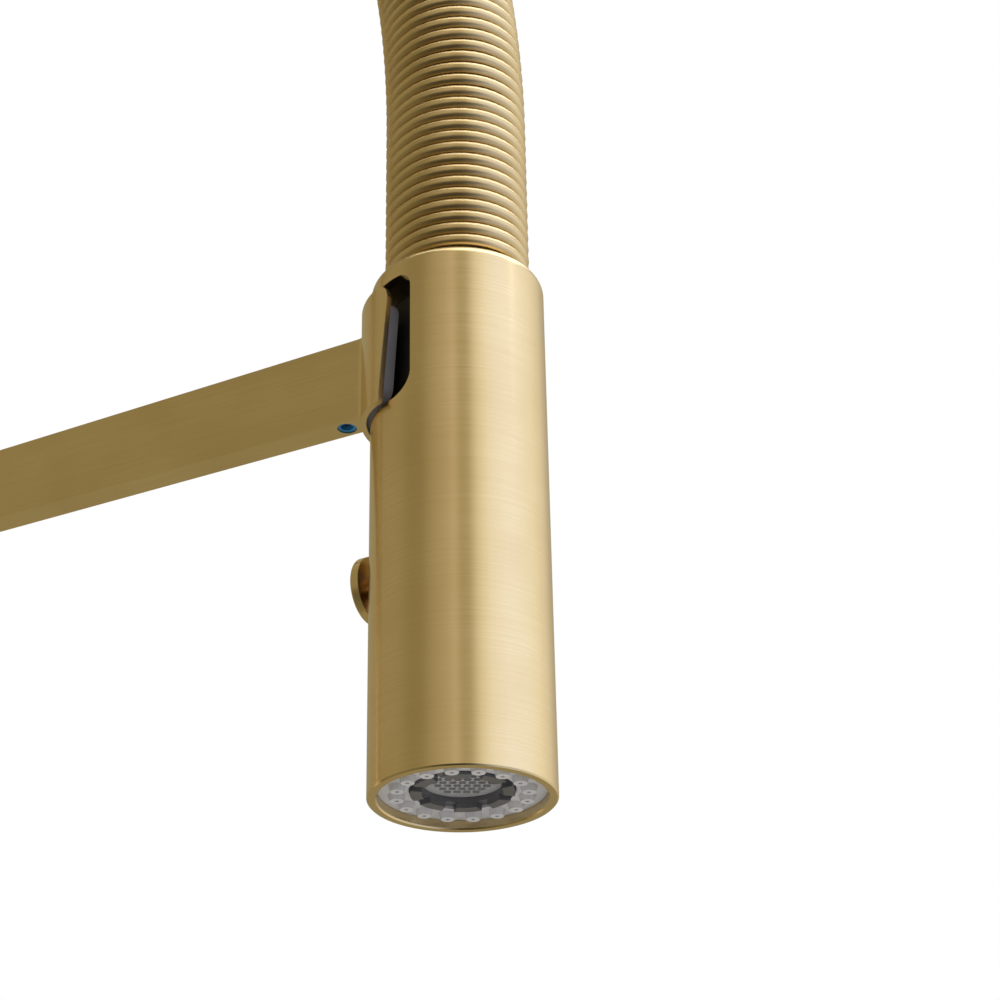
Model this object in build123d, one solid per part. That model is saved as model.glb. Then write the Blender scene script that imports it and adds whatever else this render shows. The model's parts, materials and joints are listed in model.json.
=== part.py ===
from build123d import *
import os
from math import asin, cos, degrees, radians, sin

# Spring-type pull-down kitchen faucet. Millimetres, +Z up.
# The origin is the centre of the base, on the deck that the faucet stands on.
# The spray wand hangs at -Y, and the mixer lever is on the +X side.

# ---------------------------------------------------------------- driving sizes
reach = 230.0            # column axis to wand axis
spray_height = 190.0     # deck to the wand's bottom rim

# clearances
slip = 0.05              # radial, between pieces pushed together
running = 0.05           # radial, between pieces that turn on each other
gap = 0.4                # between pieces that move past each other

# base and body
flange_r = 27.0
flange_h = 6.0
gasket_r_out = 25.0
gasket_r_in = 20.0
gasket_h = 2.0
foot_r = 18.8            # the body's foot inside the flange
body_r = 22.0
body_top = 130.0
shank_r = 16.0
shank_bore_r = 12.0
shank_length = 62.0      # below the deck
shank_thread = 14.0      # screwed up into the body
port_r = 5.0             # threaded port for a flexible supply tail
port_depth = 12.0
port_y = 6.2             # each side of the axis
channel_r = 3.0
deck_thickness = 30.0    # the worktop that the clamp is drawn for
washer_r = 26.0
washer_h = 2.5
pad_washer_h = 3.0
nut_flats = 44.0
nut_h = 12.0
jack_screw_r = 2.5
jack_screw_pcr = 19.0
jack_screw_length = 16.0

# side valve, measured along its own axis from the lever's pivot
valve_z = 74.0
pivot_x = 60.0
housing_end = 2.0
cartridge_in_dome = 0.5  # radial, the valve inside the dome
cartridge_base = 8.0
cartridge_wall = 2.0
cartridge_nut_h = 4.0
seat_depth = 2.5
disc_in_shell = 1.0      # radial
disc_h = 4.0
carrier_h = 4.0
set_screw_r = 1.5
set_screw_length = 16.0
set_screw_below = 3.5    # the stem's end to the screw
lever_spigot = 4.4       # into the cap's side
rotor_in_shell = 0.3     # radial
rotor_neck_r = 11.5
neck_above = 3.5         # the rotor's neck past the pivot
seal_r = 4.6
seal_h = 1.2
valve_port_pcr = 8.0
stem_side = 6.0
stem_tip = 14.0          # pivot to the tip that drives the disc
stem_top = 25.0
stem_pin_r = 1.5
dome_r = 18.0
dome_wall = 1.5
dome_opening_r = 12.0
cap_wall = 4.0           # outside the dome
cap_length = 30.0
flow_angle = 24.0
lever_r = 4.2
lever_length = 92.0
lever_offset = 14.5      # along the valve axis

# swivel and column
swivel_bore_r = 16.0
swivel_bore_depth = 34.0
bush_h = 5.0
journal_wall = 1.5       # of the bushes round the journal
retaining_screw_r = 2.0
journal_grip = 18.0
tube_r = 17.0
tube_wall = 2.0
thrust_h = 0.8
thrust_wall = 4.0
o_ring_r = 1.4
riser_r = 6.0
riser_wall = 1.0
collar_r = 19.0
collar_low = 5.0         # of the top collar, below and above the spring's end
collar_high = 10.0
collar_lip = 2.0         # between the tube's end and the spring's
union_depth = 30.0       # below the column's mouth
riser_stop = 22.0        # below the column's mouth
barb_length = 16.0       # into the hose
ferrule_wall = 1.4
ferrule_length = 15.0

# spring hose
coil_r = 16.9
wire = 3.2
hose_r = 8.0
hose_bore_r = 5.0
hose_lift = 8.0          # the hose starts this far above the spring's end
straight = 45.0
gentle_r = 330.0
gentle_angle = 12.0

# wand, measured up from its bottom rim
wand_r = 20.0
wand_wall = 2.15
wand_length = 126.0
shoulder = 3.0
pocket_low = 88.6
pocket_high = 120.2
pocket_inner_y = 1.4
pocket_corner_low = 6.0
pocket_corner_high = 3.5
pocket_lip = 5.0
top_plate = 4.0
top_hole_r = 11.0
core_bore_r = 5.0
core_base = 18.0
core_shoulder = 86.0
neck_r = 15.8
neck_top = 117.0
keeper_y = 13.0
keeper_t = 2.4
keeper_h = 17.0
keeper_mid = 103.0       # height of its middle, and of the dock's magnet
socket_r = 9.0
socket_depth = 12.0
button_z = 53.3
button_r = 7.7
bush_set_in = 2.9        # bush's inner end below the core's side
button_h = 2.1
button_travel = 1.1
button_stem_r = 2.0
bush_wall = 1.2
bush_length = 5.0
spool_r = 3.4

# spray face
face_recess = 2.1
nozzle_count = 16
nozzle_pcr = 13.9
nozzle_start = 19.25     # degrees round to the first nozzle
nozzle_tip_r = 1.45
nozzle_root_r = 1.9
nozzle_tip_z = 0.7
nozzle_hole_r = 0.45
nozzle_plate_h = 2.5
face_lip_r = 11.6
aerator_r = 11.0
aerator_bore_r = 8.5
aerator_low = 1.4
aerator_h = 11.0
aerator_teeth = 8
tooth_depth = 1.3
tooth_gap = 2.6
mesh_z = 3.8
mesh_h = 1.4
mesh_cell = 1.7
mesh_bar = 0.35

# docking arm, heights measured like the wand's
shield_r_in = 20.9
shield_wall = 1.3
shield_low = 88.5         # at its side edges
shield_high = 118.4
shield_half_top = 74.0   # degrees each side of the arm
shield_half_low = 63.8   # a little below its bottom
shield_rise = 0.15       # of the bottom edge towards the arm, per millimetre
shield_corner = 4.0
arm_t = 6.4
arm_h_near = 21.4
arm_h_far = 18.6
arm_root_blend = 4.0
dock_pad_t = 2.8
dock_pad_inset = 1.0      # degrees back from the shield's side edges
dock_pad_lift = 1.3      # above the shield's bottom edge
dock_pad_high = 115.0
magnet_r = 6.0
magnet_t = 1.6
magnet_proud = 1.2       # to the inside of the liner
arm_collar_r = 22.0
arm_collar_h = 26.0
arm_tongue = 3.0
fixing_screw_r = 1.65
fixing_head_r = 2.9
fixing_screw_grip = 8.5  # past the collar
clamp_screw_r = 2.0
pad_screw_r = 1.5
screw_ring_r = 2.25
screw_from_axis = 29.5
screw_ring_depth = 1.6
pad_screw_length = 6.5

# ---------------------------------------------------------------- worked out
column_top = spray_height + wand_length
wand_place = Location((0, -reach, spray_height))
valve_place = Plane(origin=(pivot_x, 0, valve_z), x_dir=(0, 1, 0), z_dir=(1, 0, 0)).location
shield_r = shield_r_in + shield_wall
wand_bore_r = wand_r - wand_wall
core_r = wand_bore_r - slip
bush_y = core_r - bush_set_in
spool_end = 7.0
button_gap = button_travel + gap
arm_mid = shield_high - arm_h_near / 2
tube_low = body_top + thrust_h
seat_x = housing_end - seat_depth - cartridge_nut_h
carrier_z = -stem_tip - 1.0
fixed_z = carrier_z - 2 * disc_h - 0.02
cartridge_low = fixed_z - cartridge_base
cap_r = dome_r + cap_wall
housing_r = cap_r
cartridge_r = dome_r - cartridge_in_dome
shell_bore_r = cartridge_r - cartridge_wall
disc_r = shell_bore_r - disc_in_shell
slide_disc_r = shell_bore_r - stem_tip * radians(flow_angle) - 0.3
rotor_r = shell_bore_r - rotor_in_shell
set_screw_z = stem_top - set_screw_below
journal_r = swivel_bore_r - journal_wall
tube_bore_r = tube_r - tube_wall
collar_screw_z = spray_height + arm_mid
swivel_floor = body_top - swivel_bore_depth


# ---------------------------------------------------------------- small helpers
def rod(radius, low, high):
    """A solid cylinder on Z between two heights."""
    return Pos(0, 0, low) * Cylinder(radius, high - low, align=(Align.CENTER, Align.CENTER, Align.MIN))


def ring(outer, inner, low, high):
    """A cylinder on Z with a through bore."""
    return rod(outer, low, high) - rod(inner, low - 1, high + 1)


def block(x, y, z, low):
    """A box centred on X and Y that stands on a height."""
    return Pos(0, 0, low) * Box(x, y, z, align=(Align.CENTER, Align.CENTER, Align.MIN))


def rod_x(radius, start, end, y=0.0, z=0.0):
    """A solid cylinder along X."""
    return Pos(start, y, z) * Rot(0, 90, 0) * rod(radius, 0, end - start)


def rod_y(radius, start, end, x=0.0, z=0.0):
    """A solid cylinder along Y."""
    return Pos(x, start, z) * Rot(-90, 0, 0) * rod(radius, 0, end - start)


def torus(major, minor, height):
    """An O-ring lying flat at a height."""
    return Pos(0, 0, height) * Torus(major, minor)


def hexagon(flats, low, high):
    """A hexagonal prism on Z, sized over its flats."""
    sketch = RegularPolygon(flats / 2, 6, major_radius=False)
    return Pos(0, 0, low) * extrude(sketch, high - low)


def around(shape, count, start=0.0):
    """Copies of a shape, evenly spaced round Z."""
    return [Rot(0, 0, start + 360 * i / count) * shape for i in range(count)]


def top_rim(shape):
    """The outermost circle of a shape's top."""
    circles = shape.edges().filter_by(GeomType.CIRCLE)
    return circles.group_by(Axis.Z)[-1].sort_by(SortBy.LENGTH)[-1]


def less(shape, tools):
    """A shape with a list of tools cut away."""
    for tool in tools:
        shape = shape - tool
    return shape


def wedge(half_top, half_low, low, high, radius):
    """A sector about +Y whose half-angle changes evenly with height."""
    def section(half, z):
        far = 2 * radius
        a = radians(half)
        side = (far * sin(a), far * cos(a))
        points = [(0, -0.01), side, (far, 2 * far), (-far, 2 * far), (-side[0], side[1])]
        return Plane.XY.offset(z) * make_face(Polyline(*points, close=True))
    return loft([section(half_low, low), section(half_top, high)], ruled=True)


def save(name, *shapes, place=None):
    """Writes one node from its separate solids."""
    solids = [s for shape in shapes for s in shape.solids()]
    if place is not None:
        solids = [place * s for s in solids]
    whole = solids[0] if len(solids) == 1 else Compound(children=solids)
    export_step(whole, f"parts/{name}.step")


# ---------------------------------------------------------------- base and deck clamp
def base_flange():
    flange = ring(flange_r, foot_r + slip, 0, flange_h)
    flange = fillet(top_rim(flange), 1.5)
    return flange - ring(gasket_r_out + slip, gasket_r_in - slip, -1, gasket_h)


def deck_gasket():
    return ring(gasket_r_out, gasket_r_in, 0, gasket_h)


def supply_channels():
    """Ports for the supply tails, their risers, and the runs to the valve seat."""
    seat = pivot_x + cartridge_low
    tools = []
    for side in (-1, 1):
        y = side * port_y
        tools.append(Pos(0, y, shank_thread - 0.01) * rod(port_r, 0, port_depth))
        tools.append(Pos(0, y, shank_thread) * rod(channel_r, 0, valve_z - shank_thread))
        tools.append(rod_x(channel_r, -channel_r, seat + 1, y, valve_z))
    mixed_z = valve_z + valve_port_pcr
    tools.append(rod_x(channel_r, -channel_r, seat + 1, 0, mixed_z))
    tools.append(rod(channel_r, mixed_z, swivel_floor + 1))
    return tools


def lower_body():
    body = rod(body_r, flange_h, body_top) + rod(foot_r, gasket_h, flange_h + 1)
    side = rod_x(housing_r, 0, pivot_x + housing_end, 0, valve_z)
    body = body + side
    rims = body.edges().filter_by(GeomType.CIRCLE)
    body = chamfer([rims.sort_by(Axis.Z)[-1], rims.sort_by(Axis.X)[-1]], 0.5)
    inside = rod_x(cartridge_r + slip, pivot_x + cartridge_low, pivot_x + housing_end + 1, 0, valve_z)
    swivel = rod(swivel_bore_r, swivel_floor, body_top + 1)
    socket = rod(shank_r + slip, 0, shank_thread)
    screw = rod_y(retaining_screw_r, swivel_bore_r - 1, body_r + 1, 0, journal_groove_z())
    return less(body, [inside, swivel, socket, screw] + supply_channels())


def mounting_shank():
    shank = ring(shank_r, shank_bore_r, -shank_length, shank_thread)
    pitch = 3.0
    grooves = [torus(shank_r, 0.35, -shank_length + 3 + pitch * i) for i in range(8)]
    return less(shank, grooves)


def pad_washer():
    return ring(washer_r, shank_r + slip, -deck_thickness - pad_washer_h, -deck_thickness)


def mounting_washer():
    top = -deck_thickness - pad_washer_h
    return ring(washer_r, shank_r + slip, top - washer_h, top)


def nut_top():
    """The nut hangs a screw's reach below the steel washer."""
    return -deck_thickness - pad_washer_h - washer_h - 2.0


def mounting_nut():
    top = nut_top()
    nut = hexagon(nut_flats, top - nut_h, top) - rod(shank_r + slip, top - nut_h - 1, top + 1)
    holes = around(Pos(jack_screw_pcr, 0, 0) * rod(jack_screw_r + slip, top - nut_h - 1, top + 1), 2)
    return less(nut, holes)


def mounting_screws():
    tip = -deck_thickness - pad_washer_h - washer_h
    screw = rod(jack_screw_r, tip - jack_screw_length, tip)
    screw = screw - block(0.9, 2 * jack_screw_r + 1, 1.2, tip - jack_screw_length - 0.01)
    return around(Pos(jack_screw_pcr, 0, 0) * screw, 2)


# ---------------------------------------------------------------- side valve (local Z is the valve axis)
def valve_ports(low, high):
    """Hot, cold and mixed holes; local Y is up, local X is across."""
    spots = [(-port_y, 0), (port_y, 0), (0, valve_port_pcr)]
    return [Pos(x, y, 0) * rod(channel_r, low, high) for x, y in spots]


def valve_shell():
    top = seat_x
    shell = rod(cartridge_r, cartridge_low, top)
    shell = shell - rod(shell_bore_r, fixed_z, top - seat_depth)
    shell = shell - rod(rotor_neck_r + running, top - seat_depth - 1, top + 1)
    groove = rod(seal_r, cartridge_low - 1, cartridge_low + seal_h)
    grooves = [Pos(x, 0, 0) * groove for x in (-port_y, port_y)]
    return less(shell, grooves + valve_ports(cartridge_low - 1, fixed_z + 1))


def valve_fixed_disc():
    return less(rod(disc_r, fixed_z, fixed_z + disc_h), valve_ports(fixed_z - 1, fixed_z + disc_h + 1))


def valve_moving_disc():
    """Its underside has the chamber that joins the ports."""
    low = carrier_z - disc_h
    return rod(slide_disc_r, low, low + disc_h) - block(12, 6, 2.5, low - 0.01)


def disc_carrier():
    carrier = rod(slide_disc_r, carrier_z, carrier_z + carrier_h)
    return carrier - block(stem_side + 2 * gap, stem_side + 3.0, carrier_h, carrier_z + 0.6)


def valve_rotor():
    low = carrier_z + carrier_h + gap
    shoulder_top = seat_x - seat_depth - gap
    rotor = rod(rotor_r, low, shoulder_top) + rod(rotor_neck_r, shoulder_top - 0.5, neck_above)
    swing = 2 * (stem_tip * sin(radians(flow_angle)) + stem_side / 2 + gap)
    slot = block(stem_side + 2 * gap, swing, 60, low - 1)
    pin = rod_x(stem_pin_r + slip, -rotor_r, rotor_r)
    return less(rotor, [slot, pin])


def stem_pin():
    return rod_x(stem_pin_r, -rotor_neck_r + 0.5, rotor_neck_r - 0.5)


def valve_stem():
    stem = block(stem_side, stem_side, stem_tip + stem_top, -stem_tip)
    stem = fillet(stem.edges().filter_by(Axis.X).group_by(Axis.Z)[0], stem_side / 2 - 0.2)
    return stem - rod_x(stem_pin_r + running, -stem_side, stem_side)


def cartridge_nut():
    low = seat_x
    nut = ring(cartridge_r, rotor_neck_r + gap, low, low + cartridge_nut_h)
    notch = block(4.0, 3.0, 3.0, low + cartridge_nut_h - 2.0)
    return less(nut, around(Pos(0, cartridge_r - 2.5, 0) * notch, 4, 45))


def valve_seals():
    """Rings round the hot and cold ports, in grooves in the valve's floor."""
    return [Pos(x, 0, 0) * ring(seal_r, channel_r + 0.3, cartridge_low, cartridge_low + seal_h)
            for x in (-port_y, port_y)]


def dome_cover():
    """A hollow dome, centred on the lever's pivot, that hides the valve."""
    ball = Sphere(dome_r) - Sphere(dome_r - dome_wall)
    dome = ball & rod(dome_r + 1, housing_end, dome_r + 1)
    seat = ring(cartridge_r, dome_r - dome_wall - 1.0, housing_end - seat_depth, housing_end + 0.5)
    dome = dome - rod(dome_opening_r, 0, dome_r + 1)
    return dome + (seat - Sphere(dome_r - dome_wall))


def cap_rim_tool():
    """Everything on the valve side of the rim, which slants so that the cap can tilt."""
    near = housing_end + 0.8
    a = radians(flow_angle)
    drop = (near + cap_r * sin(a)) / cos(a)
    tilt = degrees(asin((drop - near) / (2 * cap_r)))
    mid = (drop + near) / 2
    return Pos(0, 0, mid) * Rot(-tilt, 0, 0) * block(4 * cap_r, 4 * cap_r, 60, -60)


def handle_cap():
    cap = rod(cap_r, 0, cap_length)
    cap = fillet(cap.edges().filter_by(GeomType.CIRCLE).group_by(Axis.Z)[-1], 2.0)
    cap = cap - Sphere(dome_r + gap) - cap_rim_tool()
    socket = block(stem_side + 2 * slip, stem_side + 2 * slip, stem_top + slip, 0)
    lever_hole = rod(lever_r - 1.0 + slip, cap_r - lever_spigot - 0.1, cap_r + 1)
    lever_hole = Pos(0, 0, lever_offset) * Rot(-90, 0, 0) * lever_hole
    screw_hole = rod(set_screw_r + slip, stem_side / 2, cap_r + 1)
    screw_hole = Pos(0, 0, set_screw_z) * Rot(90, 0, 0) * screw_hole
    return less(cap, [socket, lever_hole, screw_hole])


def handle_lever():
    grip = rod(lever_r, cap_r + slip, cap_r + lever_length)
    grip = fillet(top_rim(grip), 1.5)
    spigot = rod(lever_r - 1.0, cap_r - lever_spigot, cap_r + 1)
    lever = grip + spigot
    return Pos(0, 0, lever_offset) * Rot(-90, 0, 0) * lever


def handle_set_screw():
    screw = rod(set_screw_r, stem_side / 2 + 0.1, set_screw_length)
    screw = screw - hexagon(1.5, set_screw_length - 1.5, set_screw_length + 1)
    return Pos(0, 0, set_screw_z) * Rot(90, 0, 0) * screw


def handle_plug():
    plug = rod(set_screw_r, set_screw_length + 0.2, cap_r - 0.6)
    return Pos(0, 0, set_screw_z) * Rot(90, 0, 0) * plug


# ---------------------------------------------------------------- swivel and column
def journal_groove_z():
    return swivel_floor + swivel_bore_depth / 2


def bush_heights():
    return [swivel_floor + 2.0, body_top - bush_h - 1.0]


def swivel_bushes():
    return [ring(swivel_bore_r - slip, journal_r + running, z, z + bush_h) for z in bush_heights()]


def o_ring_heights():
    return [journal_groove_z() - 5.0, journal_groove_z() + 5.0]


def swivel_journal():
    low = swivel_floor + 1.0
    journal = rod(journal_r, low, body_top)
    journal = journal + rod(min(tube_bore_r - slip, journal_r - 0.5), body_top - 1, tube_low + 1)
    journal = journal + rod(tube_bore_r - slip, tube_low, tube_low + journal_grip)
    journal = journal - rod(riser_r + slip, body_top - 10, tube_low + journal_grip + 1)
    journal = journal - rod(riser_r - riser_wall, low - 1, body_top)
    for z in o_ring_heights():
        journal = journal - ring(journal_r + 1, journal_r - o_ring_r, z - 1.6, z + 1.6)
    screw_groove = retaining_screw_r + gap
    z = journal_groove_z()
    return journal - ring(journal_r + 1, journal_r - 2.0, z - screw_groove, z + screw_groove)


def swivel_o_rings():
    return [torus(swivel_bore_r - o_ring_r - 0.02, o_ring_r, z) for z in o_ring_heights()]


def swivel_retaining_screw():
    """Its tip runs in the journal's groove, so the column turns but can't lift."""
    screw = rod_y(retaining_screw_r - slip, journal_r - 1.0, body_r - 0.5, 0, journal_groove_z())
    socket = Pos(0, body_r - 0.5, journal_groove_z()) * Rot(90, 0, 0) * hexagon(2.0, -0.5, 2.0)
    return screw - socket


def thrust_washer():
    return ring(body_r - 1.0, body_r - 1.0 - thrust_wall, body_top, tube_low)


def arm_collar_low():
    return spray_height + arm_mid - arm_collar_h / 2


def column_tube():
    tube = ring(tube_r, tube_bore_r, tube_low, column_top - collar_lip - gap)
    foot = ring(body_r, tube_r - 1.0, tube_low, tube_low + 3.0)
    return tube + chamfer(top_rim(foot), 0.8)


def riser_pipe():
    return ring(riser_r, riser_r - riser_wall, body_top - 10, column_top - riser_stop)


def hose_union():
    """Joins the riser to the hose inside the column's mouth."""
    end = column_top + hose_lift + barb_length
    union = rod(tube_bore_r - slip, column_top - union_depth, column_top - 8)
    union = union + rod(hose_bore_r - slip, column_top - 9, end)
    union = union - rod(riser_r + slip, column_top - union_depth - 1, column_top - riser_stop)
    return union - rod(3.5, column_top - riser_stop - 1, end + 1)


def column_top_collar():
    low = column_top - collar_low
    outer = rod(collar_r, low, column_top + collar_high)
    outer = fillet(top_rim(outer), 1.5)
    outer = outer - rod(tube_r + slip, low - 1, column_top - collar_lip)
    outer = outer - rod(hose_r + 4.0, low, column_top + 1)
    return outer - rod(coil_r + slip, column_top, column_top + collar_high + 1)


# ---------------------------------------------------------------- spring hose
def arch_path(lift):
    """The centre line of the arch, from lift above one end to lift above the other."""
    a = radians(gentle_angle)
    top_r = (reach / 2 - gentle_r * (1 - cos(a))) / cos(a)
    z0 = column_top + lift
    z1 = column_top + straight
    y2 = -gentle_r * (1 - cos(a))
    z2 = z1 + gentle_r * sin(a)
    z3 = z2 + top_r * (1 - sin(a))
    rise = Line((0, 0, z0), (0, 0, z1))
    mid = radians(gentle_angle / 2)
    lean_mid = (0, -gentle_r * (1 - cos(mid)), z1 + gentle_r * sin(mid))
    arc_a = ThreePointArc((0, 0, z1), lean_mid, (0, y2, z2))
    arc_b = ThreePointArc((0, y2, z2), (0, -reach / 2, z3), (0, -reach - y2, z2))
    far_mid = (0, -reach - lean_mid[1], lean_mid[2])
    arc_c = ThreePointArc((0, -reach - y2, z2), far_mid, (0, -reach, z1))
    fall = Line((0, -reach, z1), (0, -reach, z0))
    return Wire([rise, arc_a, arc_b, arc_c, fall])


def arch_tube(outer, inner, lift):
    path = arch_path(lift)
    base = Plane(origin=(0, 0, column_top + lift), z_dir=(0, 0, 1))
    section = base * (Circle(outer) - Circle(inner))
    return sweep(section, path)


def hose_ferrule(height):
    return ring(hose_r + ferrule_wall, hose_r + slip, height, height + ferrule_length)


# ---------------------------------------------------------------- docking arm
def below_saddle(lift):
    """Everything below the shield's bottom edge, which rises towards the arm."""
    edge_y = shield_r * cos(radians(shield_half_low))
    low = shield_low + lift
    far = 2 * shield_r
    line = [(edge_y - far, low - far * shield_rise), (edge_y + far, low + far * shield_rise)]
    profile = Polyline(*line, (edge_y + far, 0), (edge_y - far, 0), close=True)
    return extrude(Plane.YZ * make_face(profile), far, both=True)


def saddle_wedge(inset):
    """The sector that the shield keeps, or the liner with an inset."""
    low = shield_low - 2
    return wedge(shield_half_top - inset, shield_half_low - inset, low, shield_high, shield_r)


def shield():
    """A saddle that hugs the wand, with slanted sides and round corners."""
    shell = ring(shield_r, shield_r_in, shield_low - 2, shield_high)
    shell = (shell & saddle_wedge(0)) - below_saddle(0)
    corners = shell.edges().filter_by(GeomType.LINE)
    return fillet(corners, shield_corner)


def arm_bar():
    """A flat bar from the shield to the collar, a little lower at the column."""
    start = shield_r_in + 0.3
    end = reach - arm_collar_r + arm_tongue
    near, far = arm_h_near / 2, arm_h_far / 2
    points = [(start, arm_mid - near), (end, arm_mid - far), (end, arm_mid + far), (start, arm_mid + near)]
    profile = Plane.YZ * make_face(Polyline(*points, close=True))
    bar = extrude(profile, arm_t / 2, both=True)
    return bar - rod(shield_r_in + 0.3, 0, wand_length)


def docking_arm():
    arm = shield() + arm_bar()
    upright = arm.edges().filter_by(Axis.Z)
    on_bar = upright.filter_by(lambda e: abs(abs(e.center().X) - arm_t / 2) < 0.1)
    root = on_bar.filter_by(lambda e: e.center().Y < shield_r + 1)
    arm = fillet(root, arm_root_blend)
    low = arm_mid - arm_h_near / 2 - 1
    arm = arm - Pos(0, screw_from_axis, 0) * rod(screw_ring_r + slip, low, low + 6.0)
    arm = arm - Pos(0, screw_from_axis, 0) * rod(pad_screw_r + slip, low, arm_mid - 2)
    screw_end = reach - arm_collar_r - fixing_screw_grip
    return arm - rod_y(fixing_screw_r + slip, screw_end - 0.5, reach, 0, arm_mid)


def dock_pad():
    """A plastic liner in the shield that the wand's pocket closes on."""
    outer = shield_r_in - 0.02
    pad = ring(outer, outer - dock_pad_t, shield_low, dock_pad_high)
    pad = (pad & saddle_wedge(dock_pad_inset)) - below_saddle(dock_pad_lift)
    corners = pad.edges().filter_by(lambda e: e.length < 1.5 * dock_pad_t)
    pad = fillet(corners, shield_corner - 0.5)
    face = outer - dock_pad_t
    middle = keeper_mid
    return pad - rod_y(magnet_r + slip, face - 1, face + magnet_t, 0, middle)


def dock_magnet():
    face = shield_r_in - 0.02 - dock_pad_t
    middle = keeper_mid
    magnet = rod_y(magnet_r, face - magnet_proud, face + magnet_t, 0, middle)
    return magnet & ring(face + 5, face + 0.05, shield_low, dock_pad_high)


def pad_screw():
    low = arm_mid - arm_h_near / 2
    screw = rod(pad_screw_r, low + screw_ring_depth, low + pad_screw_length)
    screw = screw - hexagon(1.5, low + 1, low + 3)
    return Pos(0, screw_from_axis, 0) * screw


def screw_ring():
    low = arm_mid - arm_h_near / 2
    band = ring(screw_ring_r, pad_screw_r, low + 0.4, low + screw_ring_depth)
    return Pos(0, screw_from_axis, 0) * band


def arm_collar():
    low = arm_collar_low()
    collar = ring(arm_collar_r, tube_r + slip, low, low + arm_collar_h)
    collar = fillet(collar.edges().filter_by(GeomType.CIRCLE).sort_by(SortBy.LENGTH)[-2:], 1.0)
    z = collar_screw_z
    slot = block(arm_t + 2 * slip, 2 * arm_tongue, arm_h_far + gap, z - (arm_h_far + gap) / 2)
    slot = Pos(0, -arm_collar_r, 0) * slot
    through = rod_y(fixing_screw_r + slip, -arm_collar_r, -tube_r, 0, z)
    head = rod_y(fixing_head_r + 0.1, -tube_r - 1.5, -tube_r, 0, z)
    back = rod_y(clamp_screw_r, tube_r, arm_collar_r + 1, 0, z)
    return less(collar, [slot, through, head, back])


def arm_fixing_screw():
    z = collar_screw_z
    shank = rod_y(fixing_screw_r, -arm_collar_r - fixing_screw_grip, -tube_r - 1.4, 0, z)
    return shank + rod_y(fixing_head_r, -tube_r - 1.45, -tube_r - 0.2, 0, z)


def collar_clamp_screw():
    end = arm_collar_r - 0.6
    screw = rod_y(clamp_screw_r - slip, tube_r + 0.02, end, 0, collar_screw_z)
    return screw - Pos(0, end, collar_screw_z) * Rot(90, 0, 0) * hexagon(2.0, -0.5, 2.0)


# ---------------------------------------------------------------- wand
def pocket_tool():
    """The docking pocket: a notch with a rounded lower lip that leaves half of the wall standing."""
    far = wand_r + 12
    low, high = pocket_low, pocket_high
    lip_end = wand_r + 0.5
    lip_start = lip_end - pocket_lip
    bulge = pocket_lip * (1 - sin(radians(45)))
    floor = Line((pocket_inner_y, low), (lip_start, low))
    lip = ThreePointArc((lip_start, low), (lip_end - bulge, low - bulge), (lip_end, low - pocket_lip))
    corners = [(lip_end, low - pocket_lip), (far, low - pocket_lip), (far, high), (pocket_inner_y, high)]
    rest = Polyline(*corners, (pocket_inner_y, low))
    notch = extrude(Plane.YZ * make_face([floor, lip, rest]), wand_r + 5, both=True)
    inner = notch.edges().filter_by(Axis.X).group_by(Axis.Y)[0].sort_by(Axis.Z)
    notch = fillet(inner[0], pocket_corner_low)
    inner = notch.edges().filter_by(Axis.X).sort_by(Axis.Y).filter_by(lambda e: e.center().Z > high - 0.1)
    return fillet(inner[0], pocket_corner_high)


def wand_shell():
    shell = rod(wand_r, 0, wand_length)
    shell = fillet(top_rim(shell), shoulder)
    shell = shell - rod(wand_bore_r, -1, wand_length - top_plate)
    shell = chamfer(shell.edges().filter_by(GeomType.CIRCLE).group_by(Axis.Z)[0], 0.3)
    hole = rod_y(button_stem_r + bush_wall + slip, 0, wand_r + 5, 0, button_z)
    return less(shell, [rod(top_hole_r, wand_length - 10, wand_length + 1), hole, pocket_tool()])


def wand_core():
    core = rod(core_r, core_base, core_shoulder) + rod(neck_r, core_shoulder - 1, neck_top)
    chamber = rod_y(spool_r + 0.3, -spool_r - 0.5, bush_y, 0, button_z)
    bush = rod_y(button_stem_r + bush_wall + slip, bush_y - 1, core_r + 1, 0, button_z)
    bore = rod(core_bore_r, core_base - 1, neck_top + 1)
    socket = rod(socket_r, neck_top - socket_depth, neck_top + 1)
    flat = Pos(0, keeper_y + 5, 0) * block(30, 10, keeper_h + 1, keeper_mid - keeper_h / 2 - 0.5)
    return less(core, [chamber, bush, bore, socket, flat])


def keeper_plate():
    """Steel that the dock's magnet pulls on."""
    return Pos(0, keeper_y + keeper_t / 2, 0) * block(12, keeper_t, keeper_h, keeper_mid - keeper_h / 2)


def check_valve():
    low = neck_top - socket_depth - 12
    return ring(core_bore_r - slip, 2.5, low, low + 11.5)


def filter_washer():
    low = neck_top - socket_depth
    return ring(socket_r - 0.1, 3.0, low, low + 2)


def nipple_flange_low():
    return neck_top - socket_depth + 2


def hose_nipple():
    """Turns in the wand, so the hose never twists."""
    low = nipple_flange_low()
    end = wand_length + hose_lift + barb_length - 4
    nipple = rod(socket_r - 2 * slip, low, low + 3) + rod(hose_bore_r - slip, low + 1, end)
    return nipple - rod(3.0, low - 1, end + 1)


def nipple_nut():
    """Screws into the wand's core and keeps the nipple's flange in."""
    low = nipple_flange_low() + 3.2
    nut = ring(socket_r - slip, hose_bore_r + 0.2, low, neck_top)
    head = hexagon(17, neck_top, neck_top + 4) - rod(hose_bore_r + 0.2, neck_top - 1, neck_top + 5)
    return nut + head


def button_bush():
    bush = rod_y(button_stem_r + bush_wall, bush_y, bush_y + bush_length, 0, button_z)
    return bush - rod_y(button_stem_r + running, bush_y - 1, bush_y + bush_length + 1, 0, button_z)


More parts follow.
